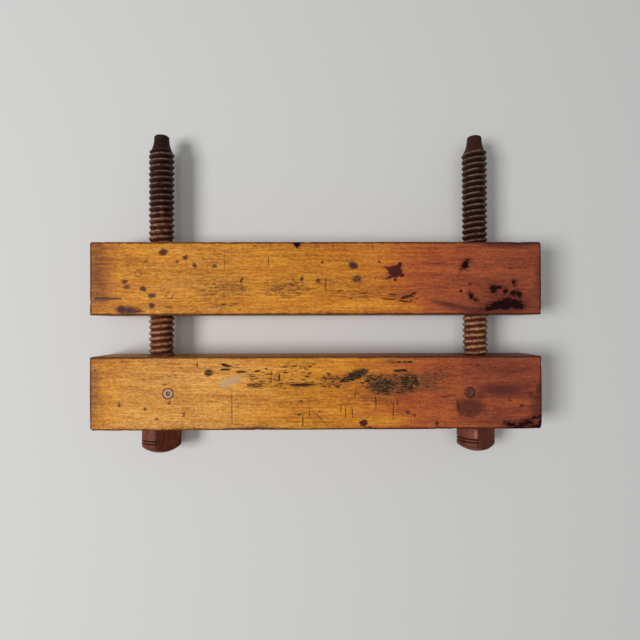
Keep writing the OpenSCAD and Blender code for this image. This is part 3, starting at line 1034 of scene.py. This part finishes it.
# %% Cut the far cheek
THREAD_TURN = {"left": 20, "right": 215}
THREAD_ROOM = 0.6
RIM_SPREAD = (-0.4, 0.7 + PAST)
TOOL_ROWS = 6
TOOL_STEPS = 48

first = math.floor((FAR_NEAR - THREAD_BASE) / PITCH) - 2
turns = math.ceil((FAR_OFF - FAR_NEAR) / PITCH) + 4
inner_r, outer_r = [THREAD_R + THREAD_ROOM + spread for spread in RIM_SPREAD]
cone, cone_faces = spin([(0, -RIM), (inner_r, -RIM), (outer_r, PAST), (0, PAST)], BORE_COLUMNS)


def turned_by(points, degrees):
    c, s = math.cos(math.radians(degrees)), math.sin(math.radians(degrees))
    x, y, height = points.T
    return np.column_stack([x * c - y * s, x * s + y * c, height])


def nut_radius(angle, height, share):
    return thread_radius(share) + THREAD_ROOM


for side in SIDES:
    points, faces = helix(first, turns, TOOL_ROWS, TOOL_STEPS, nut_radius)
    combine(beams["far_cheek"], along_screw(turned_by(points, THREAD_TURN[side]), side), faces)
    for face, out in ((FAR_NEAR, -1), (FAR_OFF, 1)):
        points = cone * (1, out, out) + (0, 0, face)
        combine(beams["far_cheek"], along_screw(points, side), cone_faces)
print("far cheek has", len(beams["far_cheek"].data.polygons), "faces with its holes")

# %% [markdown]
# ## Paint on the cheeks
#
# Texture Paint would need an image for each piece. On a mesh this fine, numbers stored at the
# vertices serve as well. A Boolean can leave points lying on each other, so dressing a piece first
# welds them, which keeps its skin closed.

# %% Numbers at the vertices
def points_of(piece):
    """A piece's vertices in millimetres."""
    flat = np.zeros(len(piece.data.vertices) * 3, np.float32)
    piece.data.vertices.foreach_get("co", flat)
    return flat.reshape(-1, 3).astype(float) / MM


def paint(piece, name, values):
    """Stores a number, or a vector, at every vertex for the materials to read."""
    values = np.asarray(values, np.float32)
    kind, field = ("FLOAT", "value") if values.ndim == 1 else ("FLOAT_VECTOR", "vector")
    layer = piece.data.attributes.new(name, kind, "POINT")
    layer.data.foreach_set(field, values.ravel())


# %% Weld and dress
WELD = 0.002


def weld(piece):
    """Merges points that lie on each other, and drops faces without area."""
    skin = bmesh.new()
    skin.from_mesh(piece.data)
    bmesh.ops.remove_doubles(skin, verts=skin.verts, dist=WELD * MM)
    bmesh.ops.dissolve_degenerate(skin, edges=skin.edges, dist=WELD * MM)
    bmesh.ops.triangulate(skin, faces=[face for face in skin.faces if len(face.verts) > 4])
    open_edges = sum(not edge.is_manifold for edge in skin.edges)
    print(piece.name, "has", len(skin.faces), "faces and", open_edges, "open edges")
    skin.to_mesh(piece.data)
    skin.free()


def dress(piece, finish, sharp_deg):
    """Welds a piece, gives it its only material, and shades it smooth except at sharp edges."""
    weld(piece)
    piece.data.materials.clear()
    piece.data.materials.append(finish.material)
    piece.data.shade_smooth()
    piece.data.set_sharp_from_angle(angle=math.radians(sharp_deg))


# %% Tone of a cheek
GILT_DROP = 0.28


def cheek_tone(u, v, marks):
    """How far each point of a cheek has turned from gold to red."""
    tone = np.interp(u, *zip(*marks["tone"]))
    for line, rise in marks["red_side"]:
        tone += rise * step_up(u, line - 1, line + 1) * step_up(v, -10, 10)
    for oval in marks["gilt"]:
        tone -= GILT_DROP * np.clip(1.25 - oval_distance(u, v, *oval), 0, 1)
    return tone


# %% Paint the cheeks
PITH = {"near_cheek": (0, 330, 150), "far_cheek": (700, 260, 190)}
WALL_TONE = 0.12
WALL_GRIME = 0.28
EDGE_GRIME = 0.92
HOLE_SHADE = 0.8
CHEEK_SHARP_DEG = 38


def paint_cheek(piece, node, marks, seed):
    """Stores every field that the cheeks' finish reads."""
    middle, half = middle_and_half(node)
    points = points_of(piece) - middle
    u, v, w = points.T
    top = step_up(w, half[2] - 3, half[2] - 1)
    hidden = (1 - top) * FAR_OUTSIDE
    paint(piece, "timber", points + PITH[node])
    for name in ("ink", "wine", "paste"):
        paint(piece, name, inside(u, v, marks[name]) + hidden)
    paint(piece, "dye", inside(u, v, marks["dye"], marks["cup_rings"]) + hidden)
    paint(piece, "slate", inside(u, v, lines=marks["slate"]) + hidden)
    for name, fade in FADES.items():
        paint(piece, name, strongest(u, v, marks[name], fade) * top)
    near_top = np.maximum(top, step_up(w, half[2] - 4, half[2] - 3))
    paint(piece, "cut", sunk_depth(u, v, marks, seed) * near_top)
    paint(piece, "tone", cheek_tone(u, v, marks) + WALL_TONE * (1 - top))
    paint(piece, "end", step_up(np.abs(u), half[0] - 1.4, half[0] - 0.5) * (1 - top))

    # Dirt darkens the edges and the walls; the insides of the holes are painted darker, as shade.
    gaps = np.sort(half - np.abs(points), axis=1)
    edge = 1 - step_up(gaps[:, 1], 0.4, 3.8)
    hole = step_up(gaps[:, 0], 1.2, 2.0)
    dirt_and_shade = [EDGE_GRIME * edge, WALL_GRIME * (1 - top), HOLE_SHADE * hole]
    paint(piece, "grime_and_shade", np.max(dirt_and_shade, axis=0))
    dress(piece, honey, CHEEK_SHARP_DEG)


for node, wear in CHEEKS.items():
    paint_cheek(beams[node], node, *wear)

# %% [markdown]
# ## The two screws
#
# Each screw is turned in one piece: a head with a domed end, two ring grooves and two flats for a
# wrench, a neck with a groove for its peg, the thread, and a narrow tip. A Boolean would leave the
# flats too sharp, so the head's radius is cut back to them with a soft corner.

# %% Outline of a head and neck
HEAD_R = 20.0
DOME = 7.5
DOME_ROUND = 0.4
COLLAR = 1.5
SHOULDER_GAP = 0.3
RING_AT = (12.0, 15.0)
RING_HALF = 1.0
NECK_R = 13.5
GARTER_R = 8.3
GARTER_HALF = 5.6

head_end = box_mm("left_screw")[0][1] - JAW_Y
shoulder = -CHEEK_WIDTH - SHOULDER_GAP


def shank_outline():
    """Radius and height of the head and neck, from the domed end to where the thread begins."""
    ball = (HEAD_R**2 + DOME**2) / (2 * DOME)
    up = np.array([0.03, 0.15, 0.4, 0.8, 1.4, 2.1, 2.9, 3.8, 4.7, 5.6, *np.arange(6.3, 10.1, 0.35)])
    dome = soft_min(HEAD_R, np.sqrt(2 * ball * up - up**2), DOME_ROUND)
    heights = [head_end + sum(RING_AT) / 2]
    for ring in RING_AT:
        heights += [head_end + ring + RING_HALF * s for s in np.linspace(-1.3, 1.3, 14)]
    heights += list(np.arange(head_end + RING_AT[1] + 2, shoulder - COLLAR - 0.5, 1.1))
    heights += [shoulder - COLLAR + s for s in (-0.3, 0.0, 0.3, 0.6, 1.1)]
    rows = [(0, head_end), *zip(dome, head_end + up), *((HEAD_R, at) for at in sorted(heights))]
    rows += [(HEAD_R - 0.15, shoulder - 0.15), (HEAD_R - 0.5, shoulder), (NECK_R, shoulder)]
    groove = [-CHEEK_WIDTH / 2 - GARTER_HALF, -CHEEK_WIDTH / 2 + GARTER_HALF]
    rows += [(NECK_R, at) for at in np.linspace(shoulder + 4, groove[0], 5)]
    rows += [(GARTER_R, at) for at in groove]
    rows += [(NECK_R, at) for at in np.linspace(groove[1], NECK_END, 5)]
    return rows + [(0, NECK_END)]


print("head in mm:", round(shoulder - head_end, 1), "long and", 2 * HEAD_R, "across")

# %% A screw's head and neck
FLAT_HALF = 13.5
FLAT_ROUND = 0.3
FLAT_TILT = {"left": 46, "right": 35}
RING_DEPTH = 0.95
HEAD_COLUMNS = 180


def shank(side, seed):
    points, faces = spin(shank_outline(), HEAD_COLUMNS)
    x, y, height = points.T
    radius, angle = np.hypot(x, y), np.arctan2(y, x)
    for ring in RING_AT:
        off = np.clip(np.abs(height - head_end - ring) / RING_HALF, 0, 1)
        radius = radius - RING_DEPTH * (0.5 + 0.5 * np.cos(math.pi * off))
    facing = np.abs(np.cos(angle - math.radians(FLAT_TILT[side] - 90)))
    cut_back = soft_min(radius, FLAT_HALF / np.maximum(facing, 0.05), FLAT_ROUND)
    reach = 1 - step_up(height, shoulder - COLLAR - 0.1, shoulder - COLLAR + 0.5)
    in_head = (height < shoulder - 0.01) & (radius > 1)
    wear = 0.12 * (1 + lumps(points, 6, seed)) * step_up(radius, 4, 9)
    radius = np.where(in_head, radius + (cut_back - radius) * reach - wear, radius)
    return np.column_stack([radius * np.cos(angle), radius * np.sin(angle), height]), faces


# %% [markdown]
# The thread's crests are chipped. It runs out under the flare of the tip, so that no gap can show
# where they meet.

# %% A screw's thread
THREAD_STEPS = 56
PER_PITCH = 12
TIP_LENGTH = 15.5
TIP_R = 7.8
TIP_FLARE = 2.7
FLARE_LENGTH = 12.0
TAPER = 3.0

tip_end = box_mm("left_screw")[1][1] - JAW_Y
tip_from = tip_end - TIP_LENGTH
RUN_OUT_AT = (tip_from - TAPER, tip_from, tip_from + FLARE_LENGTH)
RUN_OUT_R = (THREAD_R, TIP_R + TIP_FLARE - 0.6, TIP_R - 2)


def threaded_part(seed):
    """The thread of one screw, with chipped crests, running out under the tip's flare."""

    def shape(angle, height, share):
        radius = thread_radius(share)
        crest = step_up(radius, ROOT_R + 1.2, THREAD_R)
        around = np.column_stack([THREAD_R * np.cos(angle), THREAD_R * np.sin(angle), height])
        chips = 2.0 * np.clip(lumps(around, 4.5, seed) - 0.3, 0, 1)
        chips += 0.12 * (1 + lumps(around, 1.7, seed + 1))
        return np.minimum(radius - crest * chips, np.interp(height, RUN_OUT_AT, RUN_OUT_R))

    turns = math.ceil((tip_from + TAPER - THREAD_BASE) / PITCH)
    return helix(0, turns, PER_PITCH, THREAD_STEPS, shape)


print("thread ends", round(tip_from, 1), "mm past the near jaw face")

# %% A screw's tip
FLARE_POWER = 1.9
TIP_ROUND = 2.2
TIP_COLUMNS = 72


def tip(seed):
    """The plain tip of one screw: it narrows in a hollow curve and is rounded at its end."""
    flare = np.linspace(0, 1, 13)
    radii = TIP_R + TIP_FLARE * (1 - flare) ** FLARE_POWER
    rows = [(0, tip_from), *zip(radii, tip_from + FLARE_LENGTH * flare)]
    for a in np.radians(range(15, 91, 15)):
        rows.append((TIP_R - TIP_ROUND * (1 - math.cos(a)), tip_end - TIP_ROUND * (1 - math.sin(a))))
    rows += [(3.5, tip_end), (1.5, tip_end), (0, tip_end)]
    points, faces = spin(rows, TIP_COLUMNS)
    radius = np.hypot(points[:, 0], points[:, 1])
    dents = 0.16 * (1 + lumps(points, 5, seed)) * step_up(radius, 2, 6)
    points[:, :2] *= (1 - dents / np.maximum(radius, 1))[:, None]
    return points, faces


# %% [markdown]
# ## Join and paint the screws
#
# Head, thread and tip are closed meshes that overlap. Joining the objects would leave faces inside,
# so a Boolean makes them one skin. Then the finish gets its fields: the thread and its crest, the
# rubbing, the strip of each head that is polished and carries a painted highlight, and the dirt,
# with painted shade in the head's grooves and where it meets the cheek.

# %% Fields on a screw
RUB_FADE = 6.0
DUST_SHARE = {"left": 0.54, "right": 0.24}
DUST_REACH = (20.0, 58.0)
TIP_DIRT = {"left": 0.7, "right": 0.5}
TIP_CREST = 0.42
TIP_THREADED = 0.75
POLISH_AND_HIGHLIGHT = {"left": (0.55, 22, 5), "right": (0.75, 16, 13)}


def paint_screw(piece, side, seed):
    """Stores every field that the screws' finish reads."""
    x, height, z = (points_of(piece) - (AXIS[side][0], JAW_Y, AXIS[side][2])).T
    radius = np.hypot(x, z)
    paint(piece, "timber", np.column_stack([height + 40 * seed, x + 9, z + 16]))

    past_thread = step_up(height, tip_from - 2, tip_from)
    in_thread = step_up(height, NECK_END - 0.2, NECK_END + 0.2) * (1 - past_thread)
    paint(piece, "threaded", np.maximum(in_thread, TIP_THREADED * past_thread))
    paint(piece, "crest", np.where(in_thread > 0.5, (radius - ROOT_R) / FLANK, TIP_CREST))
    in_gap = step_up(height, -RUB_FADE, RUB_FADE)
    in_gap *= 1 - step_up(height, FAR_NEAR - RUB_FADE, FAR_NEAR + RUB_FADE)
    beside = step_up(height, 0, FAR_NEAR) * (1 - step_up(height - FAR_OFF, *DUST_REACH))
    paint(piece, "rub", np.maximum(in_gap, DUST_SHARE[side] * beside))

    # A lit strip on the round of each head: a painted highlight on polished wood.
    share, off, wide = POLISH_AND_HIGHLIGHT[side]
    lit = np.exp(-(((np.degrees(np.arctan2(x, z)) + off) / wide) ** 2))
    ring_end = head_end + RING_AT[1]
    lit *= 0.35 + 0.65 * step_up(height, ring_end + 0.5, ring_end + 2)
    on_head = 1 - step_up(height, shoulder - 2.5, shoulder - 1)
    on_head *= step_up(radius, HEAD_R - 1.6, HEAD_R - 0.4)
    paint(piece, "polish_and_highlight", share * lit * on_head)

    # Painted shade: the ring grooves, the head's end by the cheek and the neck in the bore are darker;
    # the tip gets dirt.
    off_ring = np.min([np.abs(height - head_end - ring) for ring in RING_AT], axis=0)
    groove = (1 - step_up(off_ring, 0.3, 1.1)) * step_up(radius, HEAD_R - 2.2, HEAD_R - 1.4)
    under = step_up(height, shoulder - 1.4, shoulder - 0.2) * (1 - in_thread)
    under *= 1 - step_up(height, NECK_END, 0)
    tip_dirt = TIP_DIRT[side] * step_up(height, tip_from - 1, tip_from + 1)
    paint(piece, "grime_and_shade", np.max([0.9 * groove, 0.7 * under, tip_dirt], axis=0))


# %% Put the screws together
SCREW_SEED = {"left": 41, "right": 67}
SMALL_SHARP_DEG = 50


def screw(side, seed):
    """One screw as a single closed mesh."""
    points, faces = shank(side, seed)
    piece = make_piece(side + "_screw_turned", along_screw(points, side), faces)
    for points, faces in (threaded_part(seed + 3), tip(seed + 5)):
        combine(piece, along_screw(turned_by(points, THREAD_TURN[side]), side), faces, "UNION")
    paint_screw(piece, side, seed)
    dress(piece, dark, SMALL_SHARP_DEG)
    return piece


screws = {side: screw(side, SCREW_SEED[side]) for side in SIDES}

# %% [markdown]
# ## The two garter pegs
#
# A peg is driven down through the near cheek into the groove of the screw's neck, so that the screw
# can turn and not slide. Its upper end has a worn chamfer and the small hollow of a lathe's point. A
# plain cylinder would lack both, so an outline is spun.

# %% Outline of a peg
PEG_CHAMFER = 0.8
MARK_R = 1.9
MARK_DEPTH = 0.8


def peg_outline(radius, foot, top):
    """Radius and height of a peg, from its foot to the hollow in its upper end."""
    rows = [(0, foot), (radius - PEG_CHAMFER, foot), (radius, foot + PEG_CHAMFER)]
    rows += [(radius, height) for height in np.linspace(foot + 4, top - PEG_CHAMFER - 0.5, 8)]
    for s in (0, 0.3, 0.6, 1.0):
        rows.append((radius - PEG_CHAMFER * s, top - PEG_CHAMFER * (1 - s) ** 2))
    rows += [(r, top) for r in (3.8, 3.2, 2.6)]
    rows += [(MARK_R * s, top - MARK_DEPTH * (1 - s * s)) for s in (1.0, 0.8, 0.6, 0.4)]
    return rows + [(0.45, top - MARK_DEPTH * 0.6), (0, top - MARK_DEPTH * 0.5)]


# %% Pegs
# Radius of the pale dot left in the middle of the mark: a painted highlight.
HIGHLIGHT_DOT_R = 0.6
PEG_SEED = {"left": 5, "right": 8}
PEG_STAIN = {"left": 0.0, "right": 0.96}
PEG_MARK = {"left": 1.0, "right": 0.3}


def peg(side, seed):
    """One peg, built at the place of its CAD solid and painted for its finish."""
    low, high = box_mm(side + "_garter_peg")
    middle, radius = (low + high) / 2, (high - low)[0] / 2
    top = high[2]
    points, faces = spin(peg_outline(radius, low[2], top), PEG_COLUMNS)
    face = step_up(points[:, 2], top - 2, top - 0.5)
    points[:, 2] -= face * 0.08 * (1 + lumps(points, 2.2, seed))
    piece = make_piece(side + "_peg", points + (middle[0], middle[1], 0), faces)
    x, y, z = points.T
    away = np.hypot(x, y)
    paint(piece, "timber", np.column_stack([z + seed, x + 7, y + 4]))
    paint(piece, "stain", np.full(len(points), PEG_STAIN[side]))
    mark = 1 - step_up(away, MARK_R - 0.2, MARK_R + 0.5)
    # The middle of the mark is left pale: a painted highlight.
    mark *= step_up(away, HIGHLIGHT_DOT_R - 0.2, HIGHLIGHT_DOT_R + 0.3)
    paint(piece, "mark", mark * PEG_MARK[side] * face)
    # Painted shade: dark at the rim, where the peg meets its hole, and on its sides.
    paint(piece, "grime_and_shade", np.maximum(step_up(away, radius - 0.7, radius - 0.1), 1 - face))
    dress(piece, grey, SMALL_SHARP_DEG)
    return piece


pegs = {side: peg(side, PEG_SEED[side]) for side in SIDES}

# %% [markdown]
# ## Riding on the CAD bodies
#
# Each piece stands for one CAD solid and moves with its body.
# Parenting by hand would lose the joints. The pegs never move in the near cheek, so they are part
# of its body.

# %% Tie every piece to its body
DRESSED = [(beams[node], node, node, "cheek_wood") for node in CHEEKS]
for side in SIDES:
    DRESSED.append((screws[side], side + "_screw", side + "_screw", "screw_wood"))
    DRESSED.append((pegs[side], "near_cheek", side + "_garter_peg", "peg_wood"))
for piece, body, node, slot in DRESSED:
    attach(piece, body)
    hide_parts(node)
print("pieces:", [piece.name for piece, *_ in DRESSED])
